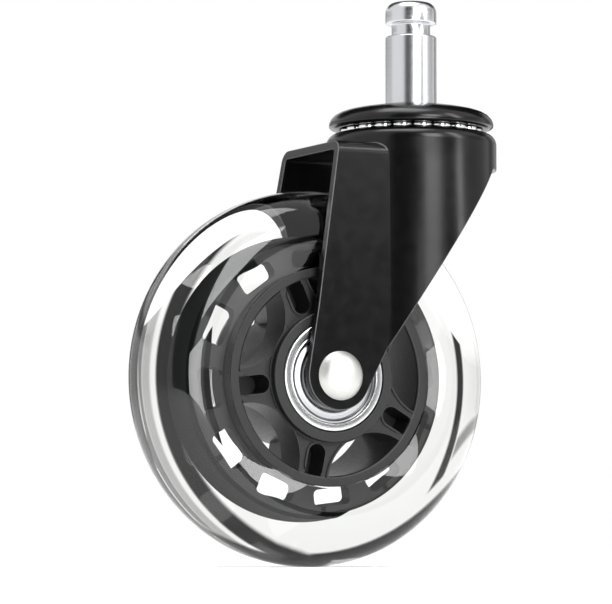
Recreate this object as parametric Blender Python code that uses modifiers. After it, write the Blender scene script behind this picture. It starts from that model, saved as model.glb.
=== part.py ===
"""A chair caster: a grip stem, a two-row ball swivel, a pressed fork and a wheel on two ball bearings.

The frame: Z is the swivel axis and the stem points up it, the wheel trails towards -X, and its axle
runs along Y. The origin is where the stem meets the flat top of the race cap, which is the face that
comes to rest against the chair. Sizes are in millimetres until a mesh is made.
"""

import math

import bmesh
import bpy

MM = 0.001
MERGE = 1e-5

# Wheel
WHEEL_R = 38.0
TYRE_HALF_WIDTH = 11.7
CROWN_DEPTH = 11.0
CROWN_POWER = 2.3
TRAIL = 24.0
WHEEL_DROP = 19.0

# Hub core
RIM_INNER_R = 19.9
RIM_WALL = 2.2
RIM_INSET = 1.4
FLANGE_R = 28.2
FLANGE_HALF = 2.8
WINDOWS = 12
WINDOW_OUT = 2.7
WINDOW_HEIGHT = 3.4
WINDOW_WIDTH = 8.3
WINDOW_START = 6.0
BOSS_WALL = 2.05
BOSS_PROUD = 0.3
SHOULDER_DEPTH = 1.4
WEB_INSET = 0.1
WEB_THICK = 8.0
SPOKES = 5
BITE_R = 10.6
BITE_PITCH_R = 23.8
BITE_START = 222.6
SLOT_WIDTH = 3.7
SLOT_DEPTH = 6.0
SLOT_START = 186.6
SLOT_FOOT = 0.4
RIB_WIDTH = 2.4
RIB_INSET = 0.8

# Axle
SHANK_R = 3.0
SLEEVE_WALL = 0.75
RIVET_LAP = 1.9
RIVET_HEAD_HEIGHT = 2.2
RIVET_HEAD_EDGE = 0.3
WASHER_THICK = 0.5
WASHER_WIDTH = 2.1
SPACER_WALL = 1.5

# Ball bearings in the hub
BEARING_R = 11.0
BEARING_WIDTH = 7.0
INNER_RING_WALL = 1.9
OUTER_RING_WALL = 2.0
SHIELD_SEAT_WALL = 1.5
SHIELD_SEAT_DEPTH = 0.9
SHIELD_THICK = 0.4
BEARING_BALLS = 7
BALL_SHARE = 0.66
CAGE_HALF_WALL = 0.4
CAGE_HALF_WIDTH = 1.0

# Stem
STEM_R = 5.3
STEM_LENGTH = 21.4
STEM_TIP_IN = 2.1
STEM_TIP_DROP = 2.5
NECK_DEPTH = 1.3
NECK_TOP = 4.6
NECK_LENGTH = 2.4
NECK_SLOPE = 0.3
KINGPIN_R = 5.0
PEEN_LAP = 2.0
PEEN_THICK = 1.7

# Swivel race and its two rows of balls
UPPER_PITCH_R = 12.8
UPPER_BALL_R = 1.9
UPPER_BALL_Z = -5.3
UPPER_BALL_GAP = 0.1
CAP_OVERHANG = 2.15
CAP_FLAT_OUT = 3.7
CAP_DROP = 5.05
CAP_EDGE = ((3.0, 0.95), (0.8, 2.45), (0.0, 4.2), (0.3, 4.85), (1.0, CAP_DROP))
CAP_LIP = 0.25
CAP_WALL = 2.4
CAP_STEP = 0.6
LOWER_ROW_OUT = 3.0
LOWER_BALL_R = 1.4
LOWER_BALL_GAP = 0.4
RETAINER_HALF_WALL = 0.6
RETAINER_HALF_THICK = 0.35
CUP_THICK = 1.9
CUP_ROUND = 0.8
CUP_RIM_WALL = 0.5
CUP_RIM_HEIGHT = 1.6

# Fork
SHEET = 1.8
SHOULDER_ROUND = 2.5
LEDGE_WIDTH = 0.25
RACE_SLOT = 0.95
DISC_TOP = -6.3
DISC_THICK = 1.7
PLATE_TOP = -9.5
PLATE_TUCK = 0.6
FORK_FRONT = -23.2
LEG_STRAIGHT = 14.0
BACK_FLARE = 2.4
LEG_END_R = 6.9
LEG_BACK_SLOPE = 62.0
SKIRT_BOTTOM = -13.7
SKIRT_BACK = 12.5
BACK_EDGE_BOW = 1.6
TOP_ROUND = 2.5
HOLLOW_ROUND = 0.6

# Clearances
SEAT = 0.15
ROUND_FIT = 0.15
RUNNING = 0.2
CAST_FIT = 0.2
RACE_FIT = 0.15
LOOSE_FIT = 0.3
CUP_CLEAR = 0.5
PIVOT_CLEAR = 1.0

# What follows from the sizes above
AXLE_X = -TRAIL
AXLE_Z = -WHEEL_DROP - WHEEL_R
RIM_HALF_WIDTH = TYRE_HALF_WIDTH - RIM_INSET
RIM_OUTER_R = RIM_INNER_R + RIM_WALL
TYRE_BORE_R = RIM_OUTER_R + CAST_FIT
TYRE_FOOT_HALF = RIM_HALF_WIDTH + CAST_FIT
WINDOW_R = RIM_OUTER_R + WINDOW_OUT
WEB_FRONT = -RIM_HALF_WIDTH + WEB_INSET
WEB_BACK = WEB_FRONT + WEB_THICK
RIB_BACK = RIM_HALF_WIDTH - RIB_INSET
BEARING_FACE = TYRE_HALF_WIDTH + BOSS_PROUD
BEARING_BACK = BEARING_FACE - BEARING_WIDTH
BEARING_MIDDLE = (BEARING_FACE + BEARING_BACK) / 2
BORE_R = BEARING_R + ROUND_FIT
BOSS_R = BORE_R + BOSS_WALL
SHOULDER_R = BEARING_R - SHOULDER_DEPTH
WASHER_FACE = BEARING_FACE + SEAT
LEG_INNER = WASHER_FACE + WASHER_THICK + SEAT
LEG_OUTER = LEG_INNER + SHEET
PLATE_HALF = TYRE_HALF_WIDTH - PLATE_TUCK + SHEET
LEG_STRAIGHT_TOP = AXLE_Z + LEG_STRAIGHT
SLEEVE_BORE_R = SHANK_R + RUNNING
SLEEVE_R = SLEEVE_BORE_R + SLEEVE_WALL
BEARING_BORE_R = SLEEVE_R + ROUND_FIT
INNER_LAND_R = BEARING_BORE_R + INNER_RING_WALL
OUTER_LAND_R = BEARING_R - OUTER_RING_WALL
SHIELD_SEAT_R = BEARING_R - SHIELD_SEAT_WALL
BEARING_PITCH_R = (INNER_LAND_R + OUTER_LAND_R) / 2
BEARING_BALL_R = BALL_SHARE * (OUTER_LAND_R - INNER_LAND_R)
RIVET_HEAD_R = SHANK_R + RIVET_LAP
AXLE_HOLE_R = SHANK_R + LOOSE_FIT
UPPER_TRACK_R = UPPER_BALL_R + RACE_FIT
UPPER_BALLS = int(math.pi / math.asin((UPPER_BALL_R + UPPER_BALL_GAP / 2) / UPPER_PITCH_R))
RACE_MOUTH_R = UPPER_PITCH_R + UPPER_TRACK_R
RACE_INNER_R = UPPER_PITCH_R - UPPER_TRACK_R
CAP_R = RACE_MOUTH_R + CAP_OVERHANG
FORK_R = RACE_MOUTH_R + LEDGE_WIDTH + SHOULDER_ROUND
FORK_FLARE_R = FORK_R + BACK_FLARE
LIP_TOP = -CAP_DROP - RACE_SLOT
DISC_UNDERSIDE = UPPER_BALL_Z - UPPER_TRACK_R - SHEET
PIVOT_HOLE_R = KINGPIN_R + PIVOT_CLEAR
LOWER_PITCH_R = KINGPIN_R + LOWER_ROW_OUT
LOWER_BALLS = int(math.pi / math.asin((LOWER_BALL_R + LOWER_BALL_GAP / 2) / LOWER_PITCH_R))
POCKET_TOP = DISC_TOP - DISC_THICK
LOWER_BALL_Z = POCKET_TOP - RACE_FIT - LOWER_BALL_R
CUP_FLOOR = LOWER_BALL_Z - LOWER_BALL_R - RACE_FIT
CUP_R = LOWER_PITCH_R + LOWER_BALL_R + LOOSE_FIT + CUP_RIM_WALL
POCKET_R = CUP_R + CUP_CLEAR
PEEN_R = KINGPIN_R + PEEN_LAP
PEEN_TOP = CUP_FLOOR - CUP_THICK - LOOSE_FIT
FAR_AWAY = 2.0 * (WHEEL_R + TRAIL)


def new_collection(name):
    collection = bpy.data.collections.new(name)
    bpy.context.scene.collection.children.link(collection)
    return collection


def finish(name, colour, roughness, metallic=0.0, alpha=1.0):
    """A Principled material; colour is linear RGB."""
    made = bpy.data.materials.new(name)
    made.use_nodes = True
    shader = made.node_tree.nodes["Principled BSDF"]
    shader.inputs["Base Color"].default_value = (*colour, 1.0)
    shader.inputs["Roughness"].default_value = roughness
    shader.inputs["Metallic"].default_value = metallic
    shader.inputs["Alpha"].default_value = alpha
    return made


def place(obj, body, at=(0.0, 0.0, 0.0), along_y=False):
    """Hang an object on its body's empty, at a point in mm; along_y lays its Z axis along +Y."""
    obj.parent = body
    obj.location = [value * MM for value in at]
    if along_y:
        obj.rotation_euler = (-math.pi / 2, 0.0, 0.0)
    return obj


def link_mesh(name, mesh, collection, material=None):
    obj = bpy.data.objects.new(name, mesh)
    collection.objects.link(obj)
    if material:
        mesh.materials.append(material)
    return obj


def as_cutter(obj):
    obj.hide_render = True
    obj.display_type = "WIRE"
    return obj


def turned(name, outline, collection, material=None, steps=48):
    """A solid of revolution about Z from (radius, height) points in mm, from the top down its outside."""
    mesh = bpy.data.meshes.new(name)
    points = [(radius * MM, 0.0, height * MM) for radius, height in outline]
    edges = [(index, index + 1) for index in range(len(points) - 1)]
    if outline[0][0] > 0.0:
        edges.append((len(points) - 1, 0))
    mesh.from_pydata(points, edges, [])
    obj = link_mesh(name, mesh, collection, material)
    screw = obj.modifiers.new("turn", "SCREW")
    screw.axis = "Z"
    screw.steps = steps
    screw.render_steps = steps
    screw.use_merge_vertices = True
    screw.merge_threshold = MERGE
    return obj


def box(name, low, high, collection, turn=0.0):
    """A box between two corners in mm, then turned about Y by an angle in degrees."""
    mesh = bpy.data.meshes.new(name)
    form = bmesh.new()
    bmesh.ops.create_cube(form, size=1.0)
    for vertex in form.verts:
        for axis in range(3):
            middle = (low[axis] + high[axis]) / 2
            vertex.co[axis] = (middle + vertex.co[axis] * (high[axis] - low[axis])) * MM
    form.to_mesh(mesh)
    form.free()
    obj = link_mesh(name, mesh, collection)
    obj.rotation_euler = (0.0, -math.radians(turn), 0.0)
    return obj


def prism(name, outline, half_depth, collection, along_x=False):
    """A flat (x, z) outline in mm, filled and given a depth along Y, or (y, z) along X, as a mesh."""
    curve = bpy.data.curves.new(name, "CURVE")
    curve.dimensions = "2D"
    curve.fill_mode = "BOTH"
    curve.extrude = half_depth * MM
    spline = curve.splines.new("POLY")
    spline.points.add(len(outline) - 1)
    spline.use_cyclic_u = True
    for point, (x, z) in zip(spline.points, outline):
        point.co = (x * MM, z * MM, 0.0, 1.0)
    drawn = bpy.data.objects.new(name + "_outline", curve)
    collection.objects.link(drawn)
    drawn.rotation_euler = (math.pi / 2, 0.0, math.pi / 2 if along_x else 0.0)
    bpy.context.view_layer.update()
    mesh = bpy.data.meshes.new_from_object(drawn.evaluated_get(bpy.context.evaluated_depsgraph_get()))
    form = bmesh.new()
    form.from_mesh(mesh)
    bmesh.ops.remove_doubles(form, verts=form.verts, dist=MERGE)
    form.to_mesh(mesh)
    form.free()
    obj = link_mesh(name, mesh, collection)
    obj.matrix_world = drawn.matrix_world
    bpy.data.objects.remove(drawn)
    return obj


def ball_mesh(name, radius, centres):
    """One mesh of balls with the given centres in mm."""
    mesh = bpy.data.meshes.new(name)
    form = bmesh.new()
    for centre in centres:
        made = bmesh.ops.create_icosphere(form, subdivisions=2, radius=radius * MM)
        bmesh.ops.translate(form, verts=made["verts"], vec=[value * MM for value in centre])
    form.to_mesh(mesh)
    form.free()
    return mesh


def combine(obj, cutter, operation):
    """Add a Boolean modifier that joins, cuts or keeps an object by another."""
    step = obj.modifiers.new(cutter.name, "BOOLEAN")
    step.operation = operation
    step.solver = "EXACT"
    step.object = cutter
    as_cutter(cutter)


def arc(centre, radius, start, end, count):
    """Points on a circle in mm, between two angles in degrees, both ends included."""
    angles = [math.radians(start + (end - start) * index / (count - 1)) for index in range(count)]
    return [(centre[0] + radius * math.cos(a), centre[1] + radius * math.sin(a)) for a in angles]


def bowed(start, end, bow, count):
    """Points on a shallow parabola between two points, bowed out to the left of the way it runs."""
    run = (end[0] - start[0], end[1] - start[1])
    length = math.hypot(*run)
    side = (-run[1] / length, run[0] / length)
    points = []
    for index in range(count):
        share = index / (count - 1)
        rise = 4.0 * bow * share * (1.0 - share)
        x = start[0] + run[0] * share + side[0] * rise
        z = start[1] + run[1] * share + side[1] * rise
        points.append((x, z))
    return points


def ring_of(count, pitch_radius, start=0.0):
    """Places and angles evenly round a circle."""
    for index in range(count):
        angle = start + 360.0 * index / count
        turn = math.radians(angle)
        yield index, angle, pitch_radius * math.cos(turn), pitch_radius * math.sin(turn)


def make_stem(parts, steel, body):
    neck_top = STEM_LENGTH - NECK_TOP
    neck_bottom = neck_top - NECK_LENGTH
    neck_r = STEM_R - NECK_DEPTH
    shank_end = -CAP_WALL - LOOSE_FIT
    tip = []
    for index in range(4):
        turn = math.pi / 2 * index / 3
        tip_r = STEM_R - STEM_TIP_IN * (1.0 - math.sin(turn))
        tip.append((tip_r, STEM_LENGTH - STEM_TIP_DROP * (1.0 - math.cos(turn))))
    outline = [
        (0.0, STEM_LENGTH),
        *tip,
        (STEM_R, neck_top + NECK_SLOPE),
        (neck_r, neck_top),
        (neck_r, neck_bottom),
        (STEM_R, neck_bottom - NECK_SLOPE),
        (STEM_R, shank_end),
        (KINGPIN_R, shank_end - NECK_SLOPE),
        (KINGPIN_R, PEEN_TOP),
        (PEEN_R, PEEN_TOP),
        (PEEN_R, PEEN_TOP - PEEN_THICK / 2),
        (PEEN_R - PEEN_THICK / 2, PEEN_TOP - PEEN_THICK),
        (0.0, PEEN_TOP - PEEN_THICK),
    ]
    place(turned("stem", outline, parts, steel, 40), body)


def make_races(parts, black, steel, body):
    """The domed race cap that the upper balls run under, and the cup under the lower row."""
    bore = STEM_R + LOOSE_FIT
    track = (UPPER_PITCH_R, UPPER_BALL_Z)
    edge = [(CAP_R - inward, -drop) for inward, drop in CAP_EDGE]
    cap = [
        (bore, 0.0),
        (STEM_R + CAP_FLAT_OUT, 0.0),
        *edge,
        (RACE_MOUTH_R + CAP_LIP, -CAP_DROP),
        *arc(track, UPPER_TRACK_R, 12.0, 168.0, 8),
        (RACE_INNER_R - CAP_STEP, -CAP_WALL - CAP_STEP),
        (RACE_INNER_R - 2 * CAP_STEP, -CAP_WALL),
        (bore, -CAP_WALL),
    ]
    place(turned("upper_race_cap", cap, parts, black, 48), body)
    cup_bore = KINGPIN_R + LOOSE_FIT
    cup_bottom = CUP_FLOOR - CUP_THICK
    cup = [
        (CUP_R, CUP_FLOOR + CUP_RIM_HEIGHT),
        (CUP_R, cup_bottom + CUP_ROUND),
        (CUP_R - CUP_ROUND, cup_bottom),
        (cup_bore, cup_bottom),
        (cup_bore, CUP_FLOOR),
        (CUP_R - CUP_RIM_WALL, CUP_FLOOR),
        (CUP_R - CUP_RIM_WALL, CUP_FLOOR + CUP_RIM_HEIGHT),
    ]
    place(turned("lower_race_cup", cup, parts, steel, 40), body)


def make_swivel_balls(parts, cutters, steel, upper_body, lower_body):
    for index, _, x, y in ring_of(UPPER_BALLS, UPPER_PITCH_R):
        name = f"upper_ball_{index + 1:02d}"
        ball = link_mesh(name, ball_mesh(name, UPPER_BALL_R, [(0.0, 0.0, 0.0)]), parts, steel)
        place(ball, upper_body, (x, y, UPPER_BALL_Z))
    retainer = [
        (LOWER_PITCH_R + RETAINER_HALF_WALL, RETAINER_HALF_THICK),
        (LOWER_PITCH_R + RETAINER_HALF_WALL, -RETAINER_HALF_THICK),
        (LOWER_PITCH_R - RETAINER_HALF_WALL, -RETAINER_HALF_THICK),
        (LOWER_PITCH_R - RETAINER_HALF_WALL, RETAINER_HALF_THICK),
    ]
    ring = turned("lower_ball_ring", retainer, parts, steel, 56)
    place(ring, lower_body, (0.0, 0.0, LOWER_BALL_Z))
    centres = [(x, y, 0.0) for _, _, x, y in ring_of(LOWER_BALLS, LOWER_PITCH_R)]
    balls = link_mesh("lower_balls", ball_mesh("lower_balls", LOWER_BALL_R, centres), cutters)
    place(balls, lower_body, (0.0, 0.0, LOWER_BALL_Z))
    combine(ring, balls, "UNION")


def channel(name, inset, rounding, bottom, length, collection):
    """The front half of the fork as a solid block, or its inside when inset by the sheet's thickness."""
    top = PLATE_TOP - inset
    half_top = PLATE_HALF - inset
    half_leg = LEG_OUTER - inset
    corner = (half_top - rounding, top - rounding)
    right = [(half_leg, bottom), (half_leg, LEG_STRAIGHT_TOP), *arc(corner, rounding, 0.0, 90.0, 4)]
    left = [(-y, z) for y, z in reversed(right)]
    block = prism(name, right + left, length / 2, collection, along_x=True)
    block.location.x = -length / 2 * MM
    return block


def leg_outline():
    """The fork seen from its side: a front edge, a round end about the axle, and a slanted back edge."""
    reach = math.hypot(FORK_FRONT - AXLE_X, PLATE_TOP - AXLE_Z)
    lean = math.degrees(math.atan2(PLATE_TOP - AXLE_Z, FORK_FRONT - AXLE_X))
    front_touch = lean + math.degrees(math.acos(LEG_END_R / reach))
    back_touch = 360.0 + LEG_BACK_SLOPE - 90.0
    end = arc((AXLE_X, AXLE_Z), LEG_END_R, front_touch, back_touch, 11)
    foot = end[-1]
    skirt = (SKIRT_BACK, SKIRT_BOTTOM)
    back_edge = bowed(foot, skirt, BACK_EDGE_BOW, 7)
    front_top = (FORK_FRONT, PLATE_TOP)
    return [
        (FORK_FRONT, SHEET),
        front_top,
        *end,
        *back_edge[1:],
        (FORK_R + SHEET, SKIRT_BOTTOM),
        (FORK_R + SHEET, SHEET),
    ]


def make_fork(parts, cutters, black, body):
    """One piece of pressed sheet: a race disc, a half-round back and two legs, cut to the side outline."""
    deep = -FAR_AWAY
    outside = [
        (0.0, DISC_TOP),
        (RACE_INNER_R, DISC_TOP),
        (RACE_MOUTH_R, LIP_TOP),
        *arc((FORK_R - SHOULDER_ROUND, LIP_TOP - SHOULDER_ROUND), SHOULDER_ROUND, 90.0, 0.0, 5),
        (FORK_R, SKIRT_BOTTOM),
        (FORK_FLARE_R, AXLE_Z),
        (FORK_FLARE_R, deep),
        (0.0, deep),
    ]
    fork = place(turned("fork", outside, parts, black, 64), body)

    front = channel("fork_front", 0.0, TOP_ROUND, deep, FAR_AWAY, cutters)
    front.parent = body
    combine(fork, front, "UNION")

    inner_r = FORK_R - SHEET
    hollow = [
        (0.0, POCKET_TOP),
        (POCKET_R, POCKET_TOP),
        (POCKET_R + HOLLOW_ROUND, DISC_UNDERSIDE),
        (inner_r - HOLLOW_ROUND, DISC_UNDERSIDE),
        (inner_r, DISC_UNDERSIDE - HOLLOW_ROUND),
        (inner_r, SKIRT_BOTTOM),
        (FORK_FLARE_R - SHEET, AXLE_Z),
        (FORK_FLARE_R - SHEET, deep - SHEET),
        (0.0, deep - SHEET),
    ]
    combine(fork, place(turned("fork_hollow", hollow, cutters, None, 64), body), "DIFFERENCE")
    gap = channel("leg_gap", SHEET, TOP_ROUND - SHEET, deep - SHEET, FAR_AWAY + SHEET, cutters)
    gap.parent = body
    combine(fork, gap, "DIFFERENCE")

    track = arc((UPPER_PITCH_R, UPPER_BALL_Z), UPPER_TRACK_R, 90.0, -270.0, 17)[:-1]
    combine(fork, place(turned("ball_track", track, cutters, None, 64), body), "DIFFERENCE")
    pivot = [(0.0, 0.0), (PIVOT_HOLE_R, 0.0), (PIVOT_HOLE_R, deep / 4), (0.0, deep / 4)]
    combine(fork, place(turned("pivot_hole", pivot, cutters, None, 40), body), "DIFFERENCE")
    side = prism("side_outline", leg_outline(), 2 * FORK_R, cutters)
    side.parent = body
    combine(fork, side, "INTERSECT")
    drill = [
        (0.0, 2 * LEG_OUTER),
        (AXLE_HOLE_R, 2 * LEG_OUTER),
        (AXLE_HOLE_R, -2 * LEG_OUTER),
        (0.0, -2 * LEG_OUTER),
    ]
    hole = place(turned("axle_hole", drill, cutters, None, 32), body, (AXLE_X, 0.0, AXLE_Z), True)
    combine(fork, hole, "DIFFERENCE")


def tube_outline(inner, outer, half_length):
    return [(outer, half_length), (outer, -half_length), (inner, -half_length), (inner, half_length)]


def make_axle(parts, steel, body):
    """The rivet, its sleeve and washers, and the spacer, all held still by the fork."""
    axle = (AXLE_X, 0.0, AXLE_Z)
    head_foot = LEG_OUTER + SEAT
    dome = RIVET_HEAD_HEIGHT - RIVET_HEAD_EDGE
    top = []
    for index in range(5):
        turn = math.pi / 2 * index / 4
        top.append((RIVET_HEAD_R * math.sin(turn), head_foot + RIVET_HEAD_EDGE + dome * math.cos(turn)))
    upper = [*top, (RIVET_HEAD_R, head_foot), (SHANK_R, head_foot)]
    outline = upper + [(radius, -height) for radius, height in reversed(upper)]
    place(turned("axle_rivet", outline, parts, steel, 32), body, axle, True)
    sleeve = tube_outline(SLEEVE_BORE_R, SLEEVE_R, LEG_INNER - SEAT)
    place(turned("axle_sleeve", sleeve, parts, steel, 32), body, axle, True)
    bore = SLEEVE_R + RUNNING
    spacer = tube_outline(bore, bore + SPACER_WALL, BEARING_BACK - SEAT)
    place(turned("bearing_spacer", spacer, parts, steel, 32), body, axle, True)
    for side, sign in (("near", -1), ("far", 1)):
        washer = tube_outline(bore, bore + WASHER_WIDTH, WASHER_THICK / 2)
        middle = (AXLE_X, sign * (WASHER_FACE + WASHER_THICK / 2), AXLE_Z)
        place(turned(side + "_washer", washer, parts, steel, 32), body, middle, True)


def make_bearing(side, sign, parts, cutters, steel, shield_steel, fork_body, wheel_body, cage_body):
    """One shielded ball bearing: the inner ring is clamped, the outer ring turns with the wheel."""
    half = BEARING_WIDTH / 2
    middle_y = sign * BEARING_MIDDLE
    track_r = BEARING_BALL_R + RACE_FIT
    centre = (BEARING_PITCH_R, 0.0)

    inner_edge = math.degrees(math.acos((BEARING_PITCH_R - INNER_LAND_R) / track_r))
    inner = [
        (INNER_LAND_R, half),
        *arc(centre, track_r, 180.0 - inner_edge, 180.0 + inner_edge, 5),
        (INNER_LAND_R, -half),
        (BEARING_BORE_R, -half),
        (BEARING_BORE_R, half),
    ]
    ring = turned(side + "_inner_ring", inner, parts, steel, 32)
    place(ring, fork_body, (AXLE_X, middle_y, AXLE_Z), True)

    outer_edge = math.degrees(math.acos((OUTER_LAND_R - BEARING_PITCH_R) / track_r))
    step = half - SHIELD_SEAT_DEPTH
    outer = [
        (BEARING_R, half),
        (BEARING_R, -half),
        (SHIELD_SEAT_R, -half),
        (SHIELD_SEAT_R, -step),
        (OUTER_LAND_R, -step),
        *arc(centre, track_r, -outer_edge, outer_edge, 5),
        (OUTER_LAND_R, step),
        (SHIELD_SEAT_R, step),
        (SHIELD_SEAT_R, half),
    ]
    place(turned(side + "_outer_ring", outer, parts, steel, 32), wheel_body, (0.0, middle_y, 0.0), True)

    shield_r = SHIELD_SEAT_R - ROUND_FIT
    shield_eye = INNER_LAND_R + LOOSE_FIT
    shield = tube_outline(shield_eye, shield_r, SHIELD_THICK / 2)
    offset = step + SEAT + SHIELD_THICK / 2
    for place_name, direction in (("outer", sign), ("inner", -sign)):
        disc = turned(f"{side}_{place_name}_shield", shield, parts, shield_steel, 32)
        place(disc, wheel_body, (0.0, middle_y + direction * offset, 0.0), True)

    cage_outline = tube_outline(
        BEARING_PITCH_R - CAGE_HALF_WALL,
        BEARING_PITCH_R + CAGE_HALF_WALL,
        CAGE_HALF_WIDTH,
    )
    cage = turned(side + "_ball_cage", cage_outline, parts, steel, 28)
    place(cage, cage_body, (0.0, middle_y, 0.0), True)
    centres = [(x, y, 0.0) for _, _, x, y in ring_of(BEARING_BALLS, BEARING_PITCH_R)]
    balls = link_mesh(side + "_balls", ball_mesh(side + "_balls", BEARING_BALL_R, centres), cutters)
    place(balls, cage_body, (0.0, middle_y, 0.0), True)
    combine(cage, balls, "UNION")


def make_hub_core(parts, cutters, black, body):
    """The moulded core: a boss for the bearings, a spoked web, a rim, and a flange inside the tyre."""
    rim = [
        (RIM_OUTER_R, RIM_HALF_WIDTH),
        (RIM_OUTER_R, FLANGE_HALF),
        (FLANGE_R, FLANGE_HALF),
        (FLANGE_R, -FLANGE_HALF),
        (RIM_OUTER_R, -FLANGE_HALF),
        (RIM_OUTER_R, -RIM_HALF_WIDTH),
        (RIM_INNER_R, -RIM_HALF_WIDTH),
        (RIM_INNER_R, RIM_HALF_WIDTH),
    ]
    core = place(turned("hub_core", rim, parts, black, 60), body, along_y=True)
    seat = BEARING_BACK - SEAT
    boss = [
        (BOSS_R, BEARING_FACE),
        (BOSS_R, -BEARING_FACE),
        (BORE_R, -BEARING_FACE),
        (BORE_R, -seat),
        (SHOULDER_R, -seat),
        (SHOULDER_R, seat),
        (BORE_R, seat),
        (BORE_R, BEARING_FACE),
    ]
    web_outer = RIM_INNER_R + RIM_WALL / 2
    web_inner = BOSS_R - BOSS_WALL / 2
    web_outline = [
        (web_outer, WEB_BACK),
        (web_outer, WEB_FRONT),
        (web_inner, WEB_FRONT),
        (web_inner, WEB_BACK),
    ]
    web = place(turned("web", web_outline, cutters, None, 60), body, along_y=True)
    past = 2 * RIM_HALF_WIDTH
    bite_outline = [(0.0, past), (BITE_R, past), (BITE_R, -past), (0.0, -past)]
    for index, _, x, z in ring_of(SPOKES, BITE_PITCH_R, BITE_START):
        bite = turned(f"bite_{index + 1}", bite_outline, cutters, None, 32)
        combine(web, place(bite, body, (x, 0.0, z), True), "DIFFERENCE")
    slot_low = (BOSS_R + SLOT_FOOT, WEB_FRONT - SHEET, -SLOT_WIDTH / 2)
    slot_high = (web_outer + SHEET, WEB_FRONT + SLOT_DEPTH, SLOT_WIDTH / 2)
    rib_low = (web_inner, WEB_BACK - SHEET, -RIB_WIDTH / 2)
    rib_high = (web_outer, RIB_BACK, RIB_WIDTH / 2)
    for index, angle, _, _ in ring_of(SPOKES, 1.0, SLOT_START):
        slot = box(f"slot_{index + 1}", slot_low, slot_high, cutters, angle)
        combine(web, place(slot, body), "DIFFERENCE")
        rib = box(f"rib_{index + 1}", rib_low, rib_high, cutters, angle)
        combine(web, place(rib, body), "UNION")
    combine(core, web, "UNION")
    combine(core, place(turned("boss", boss, cutters, None, 48), body, along_y=True), "UNION")
    low = (WINDOW_R - WINDOW_HEIGHT / 2, -2 * FLANGE_HALF, -WINDOW_WIDTH / 2)
    high = (WINDOW_R + WINDOW_HEIGHT / 2, 2 * FLANGE_HALF, WINDOW_WIDTH / 2)
    for index, angle, _, _ in ring_of(WINDOWS, 1.0, WINDOW_START):
        window = box(f"window_{index + 1:02d}", low, high, cutters, angle)
        combine(core, place(window, body), "DIFFERENCE")


def make_tyre(parts, cutters, urethane, body):
    """The tyre is cast round the core's flange, and through its windows."""
    crown_r = WHEEL_R - CROWN_DEPTH
    crown = []
    for index in range(13):
        turn = math.pi / 2 - math.pi * index / 12
        out = max(0.0, math.cos(turn)) ** (2 / CROWN_POWER)
        across = math.copysign(abs(math.sin(turn)) ** (2 / CROWN_POWER), math.sin(turn))
        crown.append((crown_r + CROWN_DEPTH * out, TYRE_HALF_WIDTH * across))
    groove_r = FLANGE_R + CAST_FIT
    groove_half = FLANGE_HALF + CAST_FIT
    outline = [
        (TYRE_BORE_R, TYRE_FOOT_HALF),
        *crown,
        (TYRE_BORE_R, -TYRE_FOOT_HALF),
        (TYRE_BORE_R, -groove_half),
        (groove_r, -groove_half),
        (groove_r, groove_half),
        (TYRE_BORE_R, groove_half),
    ]
    tyre = place(turned("tyre", outline, parts, urethane, 60), body, along_y=True)
    reach = WINDOW_HEIGHT / 2 - CAST_FIT
    low = (WINDOW_R - reach, -groove_half - SHEET, -WINDOW_WIDTH / 2 + CAST_FIT)
    high = (WINDOW_R + reach, groove_half + SHEET, WINDOW_WIDTH / 2 - CAST_FIT)
    for index, angle, _, _ in ring_of(WINDOWS, 1.0, WINDOW_START):
        peg = box(f"peg_{index + 1:02d}", low, high, cutters, angle)
        combine(tyre, place(peg, body), "UNION")


def make_body(name, collection, at=(0.0, 0.0, 0.0)):
    """An empty on a body's axis, which its pieces hang on."""
    empty = bpy.data.objects.new(name, None)
    collection.objects.link(empty)
    empty.empty_display_size = 5 * MM
    empty.location = [value * MM for value in at]
    return empty


def main():
    for obj in list(bpy.data.objects):
        bpy.data.objects.remove(obj)
    parts = new_collection("chair_caster")
    cutters = new_collection("cutters")

    plated = finish("zinc_plated_steel", (0.62, 0.62, 0.60), 0.22, 1.0)
    bearing_steel = finish("bearing_steel", (0.66, 0.66, 0.66), 0.15, 1.0)
    shield_steel = finish("pressed_shield_steel", (0.52, 0.52, 0.52), 0.32, 1.0)
    paint = finish("black_paint", (0.012, 0.012, 0.013), 0.28)
    nylon = finish("black_nylon", (0.022, 0.022, 0.024), 0.42)
    urethane = finish("clear_urethane", (0.80, 0.82, 0.80), 0.08, 0.0, 0.4)

    axle = (AXLE_X, 0.0, AXLE_Z)
    chair_side = make_body("chair_side", parts)
    swivel = make_body("swivel_axis", parts)
    upper_row = make_body("upper_row_axis", parts)
    lower_row = make_body("lower_row_axis", parts)
    wheel = make_body("wheel_axis", parts, axle)
    cages = {side: make_body(side + "_cage_axis", parts, axle) for side in ("near", "far")}

    make_stem(parts, plated, chair_side)
    make_races(parts, paint, plated, chair_side)
    make_swivel_balls(parts, cutters, bearing_steel, upper_row, lower_row)
    make_fork(parts, cutters, paint, swivel)
    make_axle(parts, plated, swivel)
    for side, sign in (("near", -1), ("far", 1)):
        make_bearing(side, sign, parts, cutters, bearing_steel, shield_steel, swivel, wheel, cages[side])
    make_hub_core(parts, cutters, nylon, wheel)
    make_tyre(parts, cutters, urethane, wheel)


main()
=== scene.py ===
import math

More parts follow.
